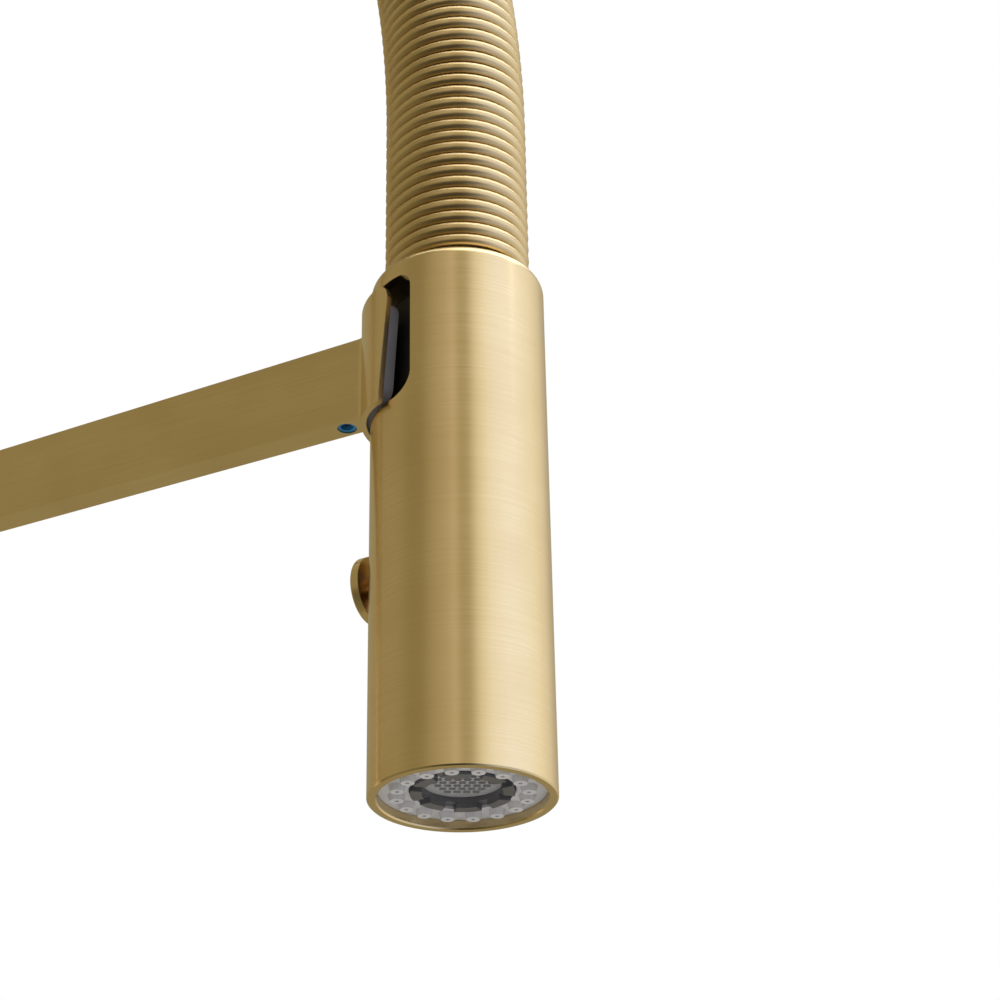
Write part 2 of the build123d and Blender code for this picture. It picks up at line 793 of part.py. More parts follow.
def spray_button():
    inner = wand_r + button_gap
    disc = rod_y(button_r, inner, inner + button_h, 0, button_z)
    disc = fillet(disc.edges().filter_by(GeomType.CIRCLE).group_by(Axis.Y)[-1], 0.5)
    return disc + rod_y(button_stem_r, spool_end, inner + 0.5, 0, button_z)


def diverter_spool():
    spool = rod_y(spool_r, -1.5, spool_end, 0, button_z)
    waist = rod_y(spool_r + 1, 1.5, 4.0, 0, button_z) - rod_y(1.8, 1.0, 4.5, 0, button_z)
    return spool - waist


def button_spring():
    """The return spring, drawn as the sleeve that its turns fill."""
    sleeve = rod_y(spool_r - 0.1, spool_end, bush_y, 0, button_z)
    return sleeve - rod_y(button_stem_r + 0.2, spool_end - 1, bush_y + 1, 0, button_z)


# ---------------------------------------------------------------- spray face
def nozzle(radius_tip, radius_root):
    height = face_recess - nozzle_tip_z + 0.5
    return Pos(nozzle_pcr, 0, nozzle_tip_z + height / 2) * Cone(radius_tip, radius_root, height)


def nozzle_ring():
    top = face_recess + nozzle_plate_h
    plate = ring(wand_bore_r - slip, face_lip_r - gap, face_recess, top)
    for cone in around(nozzle(nozzle_tip_r, nozzle_root_r), nozzle_count, nozzle_start):
        plate = plate + cone
    hole = Pos(nozzle_pcr, 0, 0) * rod(nozzle_hole_r, 0, top + 1)
    return less(plate, around(hole, nozzle_count, nozzle_start))


def spray_housing():
    """Carries the nozzles and the aerator, and screws to the core."""
    low = face_recess + nozzle_plate_h
    body = ring(wand_bore_r - slip, aerator_r + slip, low, core_base)
    chamber = ring(nozzle_pcr + 1.2, nozzle_pcr - 1.2, low - 1, core_base - 4)
    feed = Pos(nozzle_pcr, 0, 0) * rod(1.0, core_base - 5, core_base + 1)
    return less(body, [chamber] + around(feed, 8))


def aerator_housing():
    top = aerator_low + aerator_h
    body = ring(aerator_r, aerator_bore_r, aerator_low, top)
    notch = block(6, tooth_gap, tooth_depth + 1, aerator_low - 1)
    notch = Pos((aerator_r + aerator_bore_r) / 2, 0, 0) * notch
    return less(body, around(notch, aerator_teeth))


def aerator_mesh():
    """A screen of hexagonal cells."""
    disc = rod(aerator_bore_r - slip, mesh_z, mesh_z + mesh_h)
    pitch = mesh_cell + mesh_bar
    cells = []
    rings = int(aerator_bore_r / pitch)
    for row in range(-rings, rings + 1):
        for column in range(-rings, rings + 1):
            x = pitch * (column + row / 2)
            y = pitch * row * cos(radians(30))
            if (x * x + y * y) ** 0.5 + mesh_cell * 0.6 < aerator_bore_r - 0.4:
                cells.append(Location((x, y, 0)))
    holes = [place * hexagon(mesh_cell, mesh_z - 1, mesh_z + mesh_h + 1) for place in cells]
    return disc - holes


def aerator_o_ring():
    height = aerator_low + aerator_h + 1.0
    return torus(aerator_r - 1.0, 0.95, height)


# ---------------------------------------------------------------- write every node
os.makedirs("parts", exist_ok=True)

save("base_flange", base_flange())
save("deck_gasket", deck_gasket())
save("lower_body", lower_body())
save("mounting_shank", mounting_shank())
save("pad_washer", pad_washer())
save("mounting_washer", mounting_washer())
save("mounting_nut", mounting_nut())
save("mounting_screws", *mounting_screws())

save("valve_shell", valve_shell(), place=valve_place)
save("valve_fixed_disc", valve_fixed_disc(), place=valve_place)
save("valve_moving_disc", valve_moving_disc(), place=valve_place)
save("disc_carrier", disc_carrier(), place=valve_place)
save("valve_rotor", valve_rotor(), place=valve_place)
save("stem_pin", stem_pin(), place=valve_place)
save("valve_stem", valve_stem(), place=valve_place)
save("valve_seals", *valve_seals(), place=valve_place)
save("cartridge_nut", cartridge_nut(), place=valve_place)
save("dome_cover", dome_cover(), place=valve_place)
save("handle_cap", handle_cap(), place=valve_place)
save("handle_lever", handle_lever(), place=valve_place)
save("handle_set_screw", handle_set_screw(), place=valve_place)
save("handle_plug", handle_plug(), place=valve_place)

save("swivel_bushes", *swivel_bushes())
save("swivel_o_rings", *swivel_o_rings())
save("swivel_journal", swivel_journal())
save("swivel_retaining_screw", swivel_retaining_screw())
save("thrust_washer", thrust_washer())
save("column_tube", column_tube())
save("riser_pipe", riser_pipe())
save("hose_union", hose_union())
save("column_top_collar", column_top_collar())

save("spring_coil", arch_tube(coil_r, coil_r - wire, 0))
save("inner_hose", arch_tube(hose_r, hose_bore_r, hose_lift))
save("hose_ferrule_upper", hose_ferrule(column_top + hose_lift))
save("hose_ferrule_lower", hose_ferrule(wand_length + hose_lift), place=wand_place)

save("docking_arm", docking_arm(), place=wand_place)
save("dock_pad", dock_pad(), place=wand_place)
save("dock_magnet", dock_magnet(), place=wand_place)
save("pad_screw", pad_screw(), place=wand_place)
save("screw_ring", screw_ring(), place=wand_place)
save("arm_collar", arm_collar())
save("arm_fixing_screw", arm_fixing_screw())
save("collar_clamp_screw", collar_clamp_screw())

save("wand_shell", wand_shell(), place=wand_place)
save("wand_core", wand_core(), place=wand_place)
save("keeper_plate", keeper_plate(), place=wand_place)
save("check_valve", check_valve(), place=wand_place)
save("filter_washer", filter_washer(), place=wand_place)
save("hose_nipple", hose_nipple(), place=wand_place)
save("nipple_nut", nipple_nut(), place=wand_place)
save("button_bush", button_bush(), place=wand_place)
save("spray_button", spray_button(), place=wand_place)
save("diverter_spool", diverter_spool(), place=wand_place)
save("button_spring", button_spring(), place=wand_place)
save("nozzle_ring", nozzle_ring(), place=wand_place)
save("spray_housing", spray_housing(), place=wand_place)
save("aerator_housing", aerator_housing(), place=wand_place)
save("aerator_mesh", aerator_mesh(), place=wand_place)
save("aerator_o_ring", aerator_o_ring(), place=wand_place)
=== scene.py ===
"""Spring-arch kitchen faucet: finishes, spring and hose meshes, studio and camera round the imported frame."""

import json
import logging
from dataclasses import dataclass, field
from enum import Enum
from math import atan2, cos, hypot, pi, radians, sin

import bmesh
import bpy
from mathutils import Matrix, Vector

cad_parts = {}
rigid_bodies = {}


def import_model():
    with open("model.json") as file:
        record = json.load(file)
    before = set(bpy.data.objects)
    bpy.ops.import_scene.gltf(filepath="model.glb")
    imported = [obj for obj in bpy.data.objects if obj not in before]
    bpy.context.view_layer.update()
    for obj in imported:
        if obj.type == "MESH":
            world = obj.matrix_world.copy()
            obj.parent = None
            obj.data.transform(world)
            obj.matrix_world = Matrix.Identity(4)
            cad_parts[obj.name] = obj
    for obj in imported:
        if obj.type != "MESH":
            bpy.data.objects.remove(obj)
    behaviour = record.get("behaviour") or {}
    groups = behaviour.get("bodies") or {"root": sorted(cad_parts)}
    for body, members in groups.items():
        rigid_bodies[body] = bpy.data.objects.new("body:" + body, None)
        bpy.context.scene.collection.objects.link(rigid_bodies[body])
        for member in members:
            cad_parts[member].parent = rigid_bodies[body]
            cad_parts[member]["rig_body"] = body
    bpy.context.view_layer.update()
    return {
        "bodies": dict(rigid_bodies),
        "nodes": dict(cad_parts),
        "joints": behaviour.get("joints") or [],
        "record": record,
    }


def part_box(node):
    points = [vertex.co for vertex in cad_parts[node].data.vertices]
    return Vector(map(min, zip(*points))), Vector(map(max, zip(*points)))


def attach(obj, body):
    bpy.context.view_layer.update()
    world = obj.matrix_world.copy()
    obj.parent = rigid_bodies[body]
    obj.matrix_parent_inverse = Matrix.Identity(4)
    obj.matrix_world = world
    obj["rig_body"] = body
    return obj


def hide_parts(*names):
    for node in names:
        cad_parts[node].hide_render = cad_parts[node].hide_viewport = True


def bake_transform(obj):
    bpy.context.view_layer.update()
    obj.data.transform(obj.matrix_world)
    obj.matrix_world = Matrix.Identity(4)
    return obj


LOG = logging.getLogger("faucet")
MM = 0.001


# ------------------------------------------------------------------ small helpers
def linear(code: str) -> tuple[float, float, float, float]:
    """Turns an sRGB hex colour into linear light.

    Args:
        code: six hex digits, such as "A0894F".

    Returns:
        Red, green, blue and an alpha of 1.
    """
    def channel(text: str) -> float:
        """Turns one pair of hex digits into a linear value."""
        value = int(text, 16) / 255
        return value / 12.92 if value <= 0.04045 else ((value + 0.055) / 1.055) ** 2.4
    return channel(code[0:2]), channel(code[2:4]), channel(code[4:6]), 1.0


def add_node(tree: bpy.types.NodeTree, kind: str, inputs: dict | None = None, **settings) -> bpy.types.Node:
    """Adds a shader node with its settings, values and links.

    Args:
        tree: the node tree to add to.
        kind: the node's type name without "ShaderNode".
        inputs: socket name or number to a value, or to the output socket to link.
        settings: attributes of the node.

    Returns:
        The new node.
    """
    made = tree.nodes.new("ShaderNode" + kind)
    for name, value in settings.items():
        setattr(made, name, value)
    for name, value in (inputs or {}).items():
        if isinstance(value, bpy.types.NodeSocket):
            tree.links.new(value, made.inputs[name])
        else:
            made.inputs[name].default_value = value
    return made


def ramp(tree: bpy.types.NodeTree, source: bpy.types.NodeSocket, stops: list[tuple[float, tuple]],
         ease: str = "LINEAR") -> bpy.types.NodeSocket:
    """Adds a colour ramp.

    Args:
        tree: the node tree.
        source: what the ramp reads.
        stops: position and linear colour of each stop.
        ease: how colours run between stops.

    Returns:
        The ramp's colour output.
    """
    made = add_node(tree, "ValToRGB", {"Fac": source})
    band = made.color_ramp
    band.interpolation = ease
    while len(band.elements) < len(stops):
        band.elements.new(0.5)
    for element, (place, colour) in zip(band.elements, stops):
        element.position = place
        element.color = colour
    return made.outputs["Color"]


def new_object(name: str, mesh: bmesh.types.BMesh) -> bpy.types.Object:
    """Turns a bmesh into a linked object at the origin.

    Args:
        name: the object's name.
        mesh: the bmesh, which is freed.

    Returns:
        The object.
    """
    data = bpy.data.meshes.new(name)
    mesh.to_mesh(data)
    mesh.free()
    made = bpy.data.objects.new(name, data)
    bpy.context.scene.collection.objects.link(made)
    return made


def dress(piece: bpy.types.Object, material: bpy.types.Material) -> None:
    """Gives a piece its only material.

    Args:
        piece: the object.
        material: its material.
    """
    piece.data.materials.clear()
    piece.data.materials.append(material)


# ------------------------------------------------------------------ finishes
class Axis(Enum):
    """The direction that a surface was turned or brushed round."""
    X = (1.0, 0.0, 0.0)
    Y = (0.0, 1.0, 0.0)
    Z = (0.0, 0.0, 1.0)


class Lay(Enum):
    """Which way the brushing runs."""
    ROUND = "round the axis"
    ALONG = "along the axis"


@dataclass(frozen=True)
class BrushedMetal:
    """Brass with a brushed, vapour-coated colour layer: fine parallel scratches that smear highlights across them."""
    name: str
    base: str = "E2CC9D"
    deep: str = "D8C08E"
    roughness: float = 0.22
    anisotropy: float = 0.7
    axis: Axis = Axis.Z
    centre: tuple[float, float, float] = (0.0, 0.0, 0.0)
    lay: Lay = Lay.ROUND
    grain_mm: float = 0.22
    streak_mm: float = 26.0
    relief_mm: float = 0.0012

    def build(self) -> bpy.types.Material:
        """Builds the material.

        Returns:
            The material, with its scratches in object coordinates.
        """
        made = bpy.data.materials.new(self.name)
        made.use_nodes = True
        tree = made.node_tree
        shader = tree.nodes["Principled BSDF"]
        where = add_node(tree, "TexCoord").outputs["Object"]
        arm = add_node(tree, "VectorMath", {0: where, 1: self.centre}, operation="SUBTRACT").outputs[0]
        fine, long = 1 / (self.grain_mm * MM), 1 / (self.streak_mm * MM)
        across = Vector(self.axis.value)
        if self.lay is Lay.ROUND:
            scale = [fine if part else long for part in across]
        else:
            scale = [long if part else fine for part in across]
        stretched = add_node(tree, "VectorMath", {0: arm, 1: scale}, operation="MULTIPLY").outputs[0]
        scratches = add_node(tree, "TexNoise", {"Vector": stretched, "Scale": 1.0, "Detail": 3.0, "Roughness": 0.65})
        patches = add_node(tree, "TexNoise", {"Vector": arm, "Scale": 45.0, "Detail": 2.0})
        mixed = add_node(tree, "Math", {0: scratches.outputs["Fac"], 1: patches.outputs["Fac"]}, operation="MULTIPLY")
        tree.links.new(ramp(tree, mixed.outputs[0], [(0.12, linear(self.deep)), (0.40, linear(self.base))]),
                       shader.inputs["Base Color"])
        rough = add_node(tree, "MapRange", {"Value": scratches.outputs["Fac"], "From Min": 0.3, "From Max": 0.7,
                                            "To Min": self.roughness - 0.04, "To Max": self.roughness + 0.05})
        tree.links.new(rough.outputs["Result"], shader.inputs["Roughness"])
        bump = add_node(tree, "Bump", {"Height": scratches.outputs["Fac"], "Distance": self.relief_mm * MM,
                                       "Strength": 0.8})
        tree.links.new(bump.outputs["Normal"], shader.inputs["Normal"])
        shader.inputs["Metallic"].default_value = 1.0
        shader.inputs["Anisotropic"].default_value = self.anisotropy
        shader.inputs["Anisotropic Rotation"].default_value = 0.25
        if self.lay is Lay.ROUND:
            hoop = add_node(tree, "VectorMath", {0: self.axis.value, 1: arm}, operation="CROSS_PRODUCT").outputs[0]
        else:
            hoop = add_node(tree, "CombineXYZ", dict(enumerate(self.axis.value))).outputs[0]
        world = add_node(tree, "VectorTransform", {"Vector": hoop}, vector_type="VECTOR",
                         convert_from="OBJECT", convert_to="WORLD")
        unit = add_node(tree, "VectorMath", {0: world.outputs[0]}, operation="NORMALIZE").outputs[0]
        tree.links.new(unit, shader.inputs["Tangent"])
        return made


@dataclass(frozen=True)
class Plain:
    """Moulded or ground stock with a fine grain: plastic, rubber, ceramic, bright steel or turned brass."""
    name: str
    base: str
    dark: str
    roughness: float
    metallic: float = 0.0
    grain_mm: float = 0.25
    relief_mm: float = 0.01
    bump: float = 0.35

    def build(self) -> bpy.types.Material:
        """Builds the material.

        Returns:
            The material, with its grain in object coordinates.
        """
        made = bpy.data.materials.new(self.name)
        made.use_nodes = True
        tree = made.node_tree
        shader = tree.nodes["Principled BSDF"]
        where = add_node(tree, "TexCoord").outputs["Object"]
        grain = add_node(tree, "TexNoise", {"Vector": where, "Scale": 1 / (self.grain_mm * MM), "Detail": 2.0})
        cloud = add_node(tree, "TexNoise", {"Vector": where, "Scale": 90.0, "Detail": 3.0})
        tint = ramp(tree, cloud.outputs["Fac"], [(0.35, linear(self.dark)), (0.65, linear(self.base))])
        tree.links.new(tint, shader.inputs["Base Color"])
        rough = add_node(tree, "MapRange", {"Value": grain.outputs["Fac"], "From Min": 0.3, "From Max": 0.7,
                                            "To Min": self.roughness - 0.05, "To Max": self.roughness + 0.05})
        tree.links.new(rough.outputs["Result"], shader.inputs["Roughness"])
        bump = add_node(tree, "Bump", {"Height": grain.outputs["Fac"], "Distance": self.relief_mm * MM,
                                       "Strength": self.bump})
        tree.links.new(bump.outputs["Normal"], shader.inputs["Normal"])
        shader.inputs["Metallic"].default_value = self.metallic
        return made


# ------------------------------------------------------------------ carried-over pieces
@dataclass
class Finish:
    """A finish, the record slot it belongs to, and the CAD nodes that wear it."""
    look: BrushedMetal | Plain
    slot: str
    nodes: tuple[str, ...]
    crease: float = 30.0
    edge_mm: float = 0.0


class CarriedOver:
    """CAD nodes whose shape is right: each gets a merged, smooth-shaded copy with its finish."""

    def __init__(self, frame: dict, finishes: list[Finish]) -> None:
        """Keeps the frame and the finishes.

        Args:
            finishes: every finish with its nodes.
        """
        self.frame = frame
        self.finishes = finishes

    def build(self) -> None:
        """Copies and dresses every node."""
        for finish in self.finishes:
            material = finish.look.build()
            for node in finish.nodes:
                self.copy(node, finish, material)

    def copy(self, node: str, finish: Finish, material: bpy.types.Material) -> bpy.types.Object:
        """Makes the smooth copy of one node.

        Args:
            node: the CAD node's name.
            finish: its finish.
            material: the finish's material.

        Returns:
            The new object, which rides on the node's body.
        """
        source = self.frame["nodes"][node]
        shape = bmesh.new()
        shape.from_mesh(source.data)
        bmesh.ops.remove_doubles(shape, verts=shape.verts, dist=0.002 * MM)
        bmesh.ops.dissolve_degenerate(shape, edges=shape.edges, dist=0.001 * MM)
        for face in shape.faces:
            face.smooth = True
        for edge in shape.edges:
            edge.smooth = len(edge.link_faces) == 2 and edge.calc_face_angle(0.0) < radians(finish.crease)
        piece = new_object(node + "_finished", shape)
        dress(piece, material)
        if finish.edge_mm:
            soften = piece.modifiers.new("worn edge", "BEVEL")
            soften.width = finish.edge_mm * MM
            soften.segments = 2
            soften.limit_method = "ANGLE"
            soften.angle_limit = radians(40)
            soften.harden_normals = True
        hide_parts(node)
        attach(piece, source["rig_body"])
        LOG.info("%s carried over as %s", node, finish.look.name)
        return piece


# ------------------------------------------------------------------ spring arch
@dataclass
class Arch:
    """The hose's centre line: straight, gentle bend, top bend and the same down to the wand. Metres."""
    foot: Vector
    reach: float
    straight: float = 45.0 * MM
    gentle_r: float = 330.0 * MM
    gentle: float = radians(12.0)
    stretches: list[tuple[float, float, float]] = field(default_factory=list)

    def __post_init__(self) -> None:
        """Lists the stretches as length, start heading and bend per metre."""
        self.top_r = (self.reach / 2 - self.gentle_r * (1 - cos(self.gentle))) / cos(self.gentle)
        bend = self.gentle_r * self.gentle
        crown = self.top_r * (pi - 2 * self.gentle)
        self.stretches = [(self.straight, 0.0, 0.0), (bend, 0.0, 1 / self.gentle_r),
                          (crown, self.gentle, 1 / self.top_r), (bend, pi - self.gentle, 1 / self.gentle_r),
                          (self.straight, pi, 0.0)]
        self.length = sum(length for length, _, _ in self.stretches)

    def at(self, along: float) -> tuple[Vector, Vector, Vector, float]:
        """Where the centre line is at a length along it.

        Args:
            along: metres from the column's end.

        Returns:
            The point, the direction, the side normal and the bend per metre.
        """
        y, z, left = self.foot.y, self.foot.z, along
        for number, (length, start, bend) in enumerate(self.stretches):
            used = left if number == len(self.stretches) - 1 else max(min(left, length), min(left, 0.0))
            turn = start + bend * used
            if bend:
                y -= (cos(start) - cos(turn)) / bend
                z += (sin(turn) - sin(start)) / bend
            else:
                y -= sin(start) * used
                z += cos(start) * used
            left -= used
            if left <= 0 or number == len(self.stretches) - 1:
                break
        return Vector((0, y, z)), Vector((0, -sin(turn), cos(turn))), Vector((0, cos(turn), sin(turn))), bend


@dataclass
class SpringHose:
    """The close-wound spring and the hose inside it. Both bend between the column and the wand."""
    arch: Arch
    coil_r: float = 16.9 * MM
    wire: float = 3.2 * MM
    play: float = 0.07 * MM
    round_steps: int = 40
    wire_sides: int = 12
    hose_r: float = 8.0 * MM
    hose_lift: float = 8.0 * MM

    def pitch(self, bend: float) -> float:
        """The coil's pitch on the centre line, so that its turns touch inside the bend.

        Args:
            bend: the centre line's bend per metre.

        Returns:
            The pitch in metres.
        """
        middle = self.coil_r - self.wire / 2
        return (self.wire + self.play) / (1 - middle * bend)

    def turn_places(self) -> list[float]:
        """Where each turn of the spring lies along the arch.

        Returns:
            The length along the arch at each whole turn.
        """
        places = [self.wire / 2]
        while places[-1] < self.arch.length - self.wire / 2:
            places.append(places[-1] + self.pitch(self.arch.at(places[-1])[3]))
        spare = (self.arch.length - self.wire / 2 - places[-1]) / (len(places) - 1)
        return [place + spare * number for number, place in enumerate(places)]

    def one_turn(self, lead: float) -> bpy.types.Mesh:
        """Spins the wire's circle once round the coil's axis.

        Args:
            lead: how far the turn rises.

        Returns:
            A mesh of one open turn.
        """
        shape = bmesh.new()
        made = bmesh.ops.create_circle(shape, segments=self.wire_sides, radius=self.wire / 2)
        upright = Matrix.Translation((self.coil_r - self.wire / 2, 0, 0)) @ Matrix.Rotation(pi / 2, 4, "X")
        bmesh.ops.transform(shape, matrix=upright, verts=made["verts"])
        bmesh.ops.spin(shape, geom=list(shape.verts) + list(shape.edges), cent=(0, 0, 0), axis=(0, 0, 1),
                       dvec=(0, 0, lead / self.round_steps), angle=2 * pi, steps=self.round_steps)
        turn = bpy.data.meshes.new("one_turn")
        shape.to_mesh(turn)
        shape.free()
        return turn

    def spring(self) -> bpy.types.Object:
        """Spins the wire up a straight coil, then bends the coil along the arch.

        Returns:
            The spring.
        """
        places = self.turn_places()
        turns = len(places) - 1
        lead = 2 * self.wire
        turn_mesh = self.one_turn(lead)
        shape = bmesh.new()
        for number in range(turns):
            shape.from_mesh(turn_mesh)
            shape.verts.ensure_lookup_table()
            added = shape.verts[number * len(turn_mesh.vertices):]
            bmesh.ops.translate(shape, vec=(0, 0, lead * number), verts=added)
        bpy.data.meshes.remove(turn_mesh)
        bmesh.ops.remove_doubles(shape, verts=shape.verts, dist=0.005 * MM)
        bmesh.ops.holes_fill(shape, edges=[edge for edge in shape.edges if edge.is_boundary])
        for vert in shape.verts:
            angle = atan2(vert.co.y, vert.co.x)
            turn = angle / (2 * pi) + round(vert.co.z / lead - angle / (2 * pi))
            turn = max(0.0, min(float(turns), turn))
            whole = min(int(turn), turns - 1)
            along = places[whole] + (places[whole + 1] - places[whole]) * (turn - whole)
            point, direction, side, _ = self.arch.at(along)
            out = hypot(vert.co.x, vert.co.y)
            lift = vert.co.z - lead * turn
            vert.co = point + out * (cos(angle) * Vector((1, 0, 0)) + sin(angle) * side) + lift * direction
        bmesh.ops.recalc_face_normals(shape, faces=shape.faces)
        for face in shape.faces:
            face.smooth = True
        return new_object("spring_wire", shape)

    def hose(self) -> bpy.types.Object:
        """Draws the braided hose as a straight tube of rings, then bends it along the arch.

        Returns:
            The hose.
        """
        rings = 180
        span = self.arch.length - 2 * self.hose_lift
        shape = bmesh.new()
        bmesh.ops.create_cone(shape, segments=32, radius1=self.hose_r, radius2=self.hose_r, depth=span, cap_ends=True)
        sides = [edge for edge in shape.edges if abs(edge.verts[0].co.z - edge.verts[1].co.z) > span / 2]
        bmesh.ops.subdivide_edges(shape, edges=sides, cuts=rings)
        for vert in shape.verts:
            along = self.hose_lift + vert.co.z + span / 2
            point, _, side, _ = self.arch.at(along)
            vert.co = point + vert.co.x * Vector((1, 0, 0)) + vert.co.y * side
        bmesh.ops.recalc_face_normals(shape, faces=shape.faces)
        for face in shape.faces:
            face.smooth = len(face.verts) == 4
        return new_object("braided_hose", shape)

    def build(self) -> None:
        """Makes and dresses the spring and the hose, and hides the CAD nodes that they replace."""
        wire = BrushedMetal("spring_wire_drawn_gold", base="DCC595", deep="CDB584", roughness=0.30, anisotropy=0.35,
                            centre=tuple(self.arch.foot + Vector((0, -self.arch.reach, 0))), grain_mm=0.3)
        braid = Plain("nylon_braid", base="3A3A3C", dark="1C1C1E", roughness=0.55, grain_mm=0.8, relief_mm=0.2)
        for piece, look, slot, node in ((self.spring(), wire, "gold_wire", "spring_coil"),
                                        (self.hose(), braid, "hose_rubber", "inner_hose")):
            dress(piece, look.build())
            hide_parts(node)
            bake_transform(piece)
            LOG.info("%s built, %d faces", piece.name, len(piece.data.polygons))


# ------------------------------------------------------------------ studio and camera
@dataclass
class Studio:
    """A plain pale floor, soft surroundings that are brighter on one side, and one large lamp above."""
    floor_z: float
    target: Vector
    # Degrees round from straight in front of the wand, and the light that comes from there.
    cards: tuple[tuple[float, tuple[float, float, float]], ...] = (
        (-180, (0.36, 0.32, 0.20)), (-116, (0.40, 0.35, 0.215)), (-84, (0.40, 0.35, 0.215)),
        (-60, (0.33, 0.285, 0.17)), (-48, (0.35, 0.305, 0.185)), (-34, (0.47, 0.41, 0.285)),
        (-14, (0.58, 0.52, 0.39)), (-6, (0.70, 0.63, 0.51)), (2, (0.50, 0.45, 0.32)), (12, (0.52, 0.47, 0.34)),
        (25, (0.96, 0.94, 0.88)), (40, (1.15, 1.19, 1.36)), (62, (1.22, 1.31, 1.68)), (90, (1.21, 1.29, 1.58)),
        (108, (1.15, 1.19, 1.24)), (132, (0.92, 0.88, 0.82)), (150, (0.60, 0.55, 0.43)), (180, (0.36, 0.32, 0.20)))

    def build(self) -> None:
        """Makes the floor, the surroundings and the lamp."""
        shape = bmesh.new()
        bmesh.ops.create_grid(shape, x_segments=1, y_segments=1, size=4.0)
        bmesh.ops.translate(shape, vec=(0, 0, self.floor_z), verts=shape.verts)
        floor = new_object("studio_floor", shape)
        paper = Plain("matt_paper", base="F4F3F0", dark="EFEEEB", roughness=0.9, grain_mm=1.0, relief_mm=0.02)
        floor.data.materials.append(paper.build())
        floor.visible_glossy = False
        self.surroundings()
        self.lamp("overhead", Vector((0.3, -0.4, 1.9)), 1.8, 16.0)

    def lamp(self, name: str, place: Vector, size: float, power: float) -> None:
        """Adds a square area lamp that points at the faucet.

        Args:
            name: the lamp's name.
            place: where it hangs.
            size: its side, in metres.
            power: its power, in watts.
        """
        light = bpy.data.lights.new(name, "AREA")
        light.size = size
        light.energy = power
        holder = bpy.data.objects.new(name, light)
        turn = (self.target - place).to_track_quat("-Z", "Y").to_matrix().to_4x4()
        holder.matrix_world = Matrix.Translation(place) @ turn
        holder.visible_camera = False
        bpy.context.scene.collection.objects.link(holder)

    def shade_below(self, tree: bpy.types.NodeTree, height: bpy.types.NodeSocket,
                    front: bpy.types.NodeSocket) -> bpy.types.NodeSocket:
        """Darkens the light from below, most of all from below in front.

        Args:
            tree: the world's node tree.
            height: the direction's Z.
            front: 1 straight in front, -1 behind.

        Returns:
            The strength of the surroundings.
        """
        def eased(value: bpy.types.NodeSocket, start: float, end: float, most: float) -> bpy.types.NodeSocket:
            """Runs smoothly from 0 at the start value to the most at the end value."""
            made = add_node(tree, "MapRange", {"Value": value, "From Min": start, "From Max": end, "To Max": most},
                            interpolation_type="SMOOTHSTEP")
            return made.outputs["Result"]
        down = eased(height, 0.10, -0.40, 1.0)
        shares = []
        for start, end, part in ((-0.8, 0.0, 0.40), (0.35, 0.95, 0.80)):
            side = eased(front, start, end, part)
            cut = add_node(tree, "Math", {0: down, 1: side}, operation="MULTIPLY").outputs[0]
            shares.append(add_node(tree, "Math", {0: 1.0, 1: cut}, operation="SUBTRACT").outputs[0])
        return add_node(tree, "Math", {0: shares[0], 1: shares[1]}, operation="MULTIPLY").outputs[0]

    def surroundings(self) -> None:
        """White for the eye, and for light and reflections a wide bright card with dim cards beside it."""
        world = bpy.data.worlds.new("studio")
        bpy.context.scene.world = world
        world.use_nodes = True
        tree = world.node_tree
        tree.nodes.clear()
        way = add_node(tree, "SeparateXYZ", {0: add_node(tree, "TexCoord").outputs["Generated"]})
        facing = atan2(-0.454, -0.891)
        angle = add_node(tree, "Math", {0: way.outputs[1], 1: way.outputs[0]}, operation="ARCTAN2").outputs[0]
        turned = add_node(tree, "Math", {0: angle, 1: -facing + pi}, operation="ADD").outputs[0]
        share = add_node(tree, "Math", {0: turned, 1: 2 * pi}, operation="DIVIDE").outputs[0]
        wrapped = add_node(tree, "Math", {0: share}, operation="FRACT").outputs[0]
        cards = [(0.5 + turn / 360, (*tint, 1.0)) for turn, tint in self.cards]
        from_front = add_node(tree, "Math", {0: angle, 1: facing}, operation="SUBTRACT").outputs[0]
        front = add_node(tree, "Math", {0: from_front}, operation="COSINE").outputs[0]
        shade = self.shade_below(tree, way.outputs[2], front)
        room = add_node(tree, "Background", {"Color": ramp(tree, wrapped, cards), "Strength": shade})
        white = add_node(tree, "Background", {"Color": (1, 1, 1, 1), "Strength": 1.0})
        seen = add_node(tree, "LightPath").outputs["Is Camera Ray"]
        both = add_node(tree, "MixShader", {0: seen, 1: room.outputs[0], 2: white.outputs[0]})
        add_node(tree, "OutputWorld", {"Surface": both.outputs[0]})


@dataclass
class Viewpoint:
    """A camera low in front of the wand that looks steeply up at it."""
    wand_foot: Vector
    turned: float = radians(63.0)
    pitch: float = radians(28.1)
    roll: float = radians(-1.14)
    lens: float = 81.11
    offset: tuple[float, float, float] = (-388.9 * MM, -208.2 * MM, -165.2 * MM)

    def build(self) -> None:
        """Makes the scene's camera."""
        right = Vector((cos(self.turned), -sin(self.turned), 0))
        level = Vector((sin(self.turned), cos(self.turned), 0))
        forward = level * cos(self.pitch) + Vector((0, 0, sin(self.pitch)))
        up = right.cross(forward)
        right, up = (right * cos(self.roll) + up * sin(self.roll), up * cos(self.roll) - right * sin(self.roll))
        data = bpy.data.cameras.new("camera")
        data.lens = self.lens
        data.sensor_width = 36.0
        data.clip_start = 0.01
        camera = bpy.data.objects.new("camera", data)
        place = self.wand_foot + Vector(self.offset)
        turn = Matrix((right, up, -forward)).transposed().to_4x4()
        camera.matrix_world = Matrix.Translation(place) @ turn
        bpy.context.scene.collection.objects.link(camera)
        bpy.context.scene.camera = camera


# ------------------------------------------------------------------ the whole faucet
def middle(node: str) -> Vector:
    """The centre of a CAD node's box."""
    low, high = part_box(node)
    return (low + high) / 2


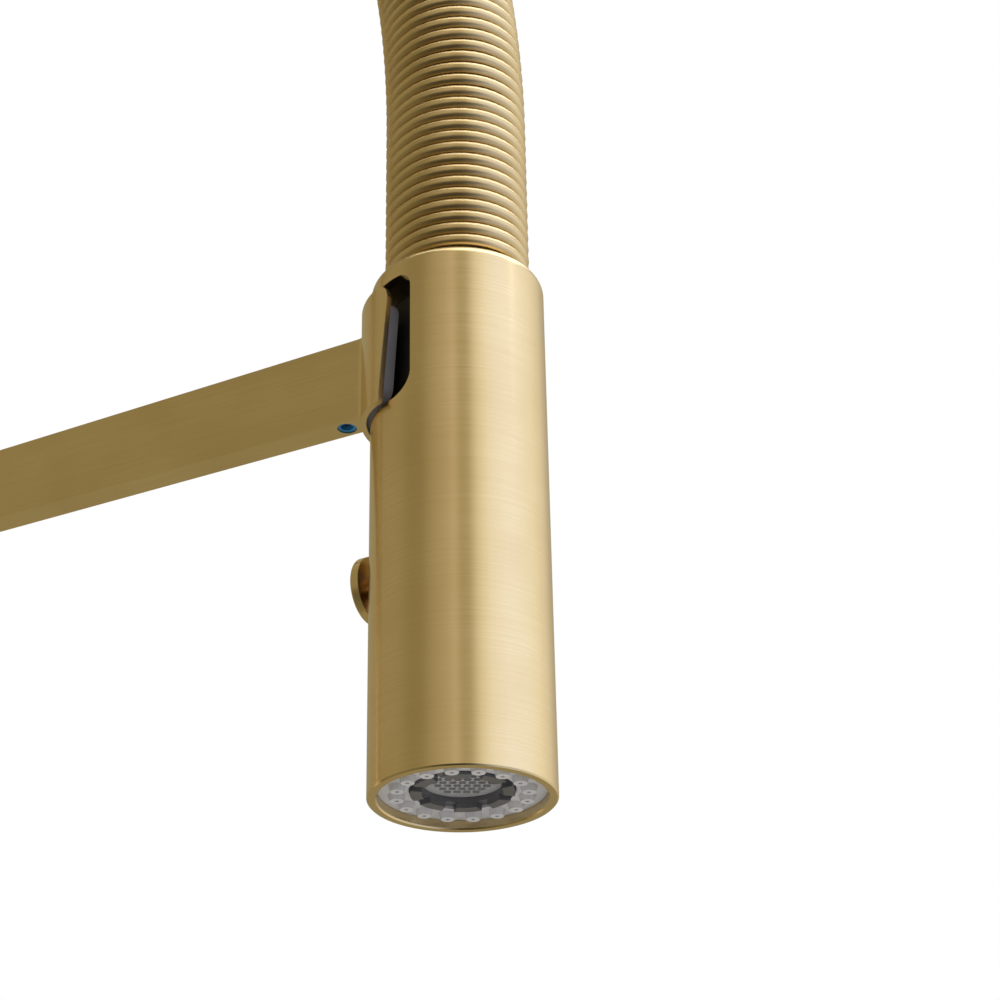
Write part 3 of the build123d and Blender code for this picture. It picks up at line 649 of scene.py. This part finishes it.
def finishes() -> list[Finish]:
    """Every finish of the carried-over pieces.

    Returns:
        The finishes with their nodes.
    """
    wand = middle("wand_shell")
    valve = middle("cartridge_nut")
    button = middle("spray_button")
    return [
        Finish(BrushedMetal("wand_brushed_gold", centre=tuple(wand)), "brushed_gold", ("wand_shell",)),
        Finish(BrushedMetal("column_brushed_gold"), "brushed_gold",
               ("column_tube", "column_top_collar", "arm_collar", "base_flange", "lower_body")),
        Finish(BrushedMetal("handle_brushed_gold", axis=Axis.X, centre=tuple(valve)), "brushed_gold",
               ("handle_cap", "dome_cover")),
        Finish(BrushedMetal("lever_brushed_gold", centre=tuple(middle("handle_lever"))), "brushed_gold",
               ("handle_lever",)),
        Finish(BrushedMetal("button_brushed_gold", axis=Axis.Y, centre=tuple(button)), "brushed_gold",
               ("spray_button",)),
        Finish(BrushedMetal("arm_brushed_gold", axis=Axis.Y, lay=Lay.ALONG, anisotropy=0.4), "brushed_gold",
               ("docking_arm",), edge_mm=0.35),
        Finish(Plain("liner_glass_filled_nylon", "74747C", "68686F", 0.5), "grey_plastic",
               ("dock_pad", "spray_housing")),
        Finish(Plain("nozzle_silicone", "BEBEC1", "B4B4B8", 0.5, grain_mm=0.4), "nozzle_silicone", ("nozzle_ring",)),
        Finish(Plain("aerator_acetal", "56575C", "48494E", 0.40), "aerator_plastic", ("aerator_housing",)),
        Finish(Plain("screen_acetal", "A2A2A4", "96969A", 0.40), "aerator_plastic", ("aerator_mesh",)),
        Finish(Plain("screw_ring_nylon", "2277AA", "1D6C9E", 0.4), "blue_nylon", ("screw_ring",)),
        Finish(Plain("valve_acetal", "2A2A2C", "202022", 0.5), "valve_plastic",
               ("valve_shell", "disc_carrier", "valve_rotor", "check_valve", "diverter_spool",
                "swivel_bushes", "thrust_washer")),
        Finish(Plain("glass_filled_black_nylon", "141415", "0E0E0F", 0.6), "valve_plastic", ("wand_core",)),
        Finish(Plain("seal_rubber", "232324", "1A1A1B", 0.7, grain_mm=0.15), "black_rubber",
               ("deck_gasket", "pad_washer", "valve_seals", "swivel_o_rings", "aerator_o_ring", "filter_washer")),
        Finish(Plain("ground_steel", "B9B9B7", "A9A9A8", 0.3, 1.0, relief_mm=0.004), "steel",
               ("mounting_washer", "mounting_screws", "stem_pin", "valve_stem", "handle_set_screw",
                "swivel_retaining_screw", "arm_fixing_screw", "collar_clamp_screw", "pad_screw", "keeper_plate",
                "button_spring", "hose_ferrule_upper", "hose_ferrule_lower", "dock_magnet")),
        Finish(Plain("turned_brass", "C9A35B", "B8914C", 0.28, 1.0, relief_mm=0.004), "brass",
               ("mounting_shank", "mounting_nut", "cartridge_nut", "swivel_journal", "riser_pipe", "hose_union",
                "hose_nipple", "nipple_nut", "button_bush")),
        Finish(Plain("lapped_ceramic", "E8E4DA", "DEDACF", 0.2, grain_mm=0.1, relief_mm=0.001), "ceramic",
               ("valve_fixed_disc", "valve_moving_disc")),
        Finish(Plain("plug_acetal", "8F7B48", "85713F", 0.45), "plug_plastic", ("handle_plug",)),
    ]


def main() -> None:
    """Builds the faucet's looks in order and logs each piece."""
    logging.basicConfig(level=logging.INFO, format="%(name)s: %(message)s")
    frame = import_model()
    wand_low, wand_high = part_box("wand_shell")
    wand_foot = Vector(((wand_low.x + wand_high.x) / 2, (wand_low.y + wand_high.y) / 2, wand_low.z))
    CarriedOver(frame, finishes()).build()
    coil_low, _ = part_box("spring_coil")
    arch = Arch(foot=Vector((0, 0, coil_low.z)), reach=-wand_foot.y)
    SpringHose(arch).build()
    Studio(floor_z=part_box("mounting_shank")[0].z - 1 * MM, target=wand_foot).build()
    Viewpoint(wand_foot).build()
    bpy.context.scene.view_settings.view_transform = "Standard"


if __name__ == "__main__":
    main()
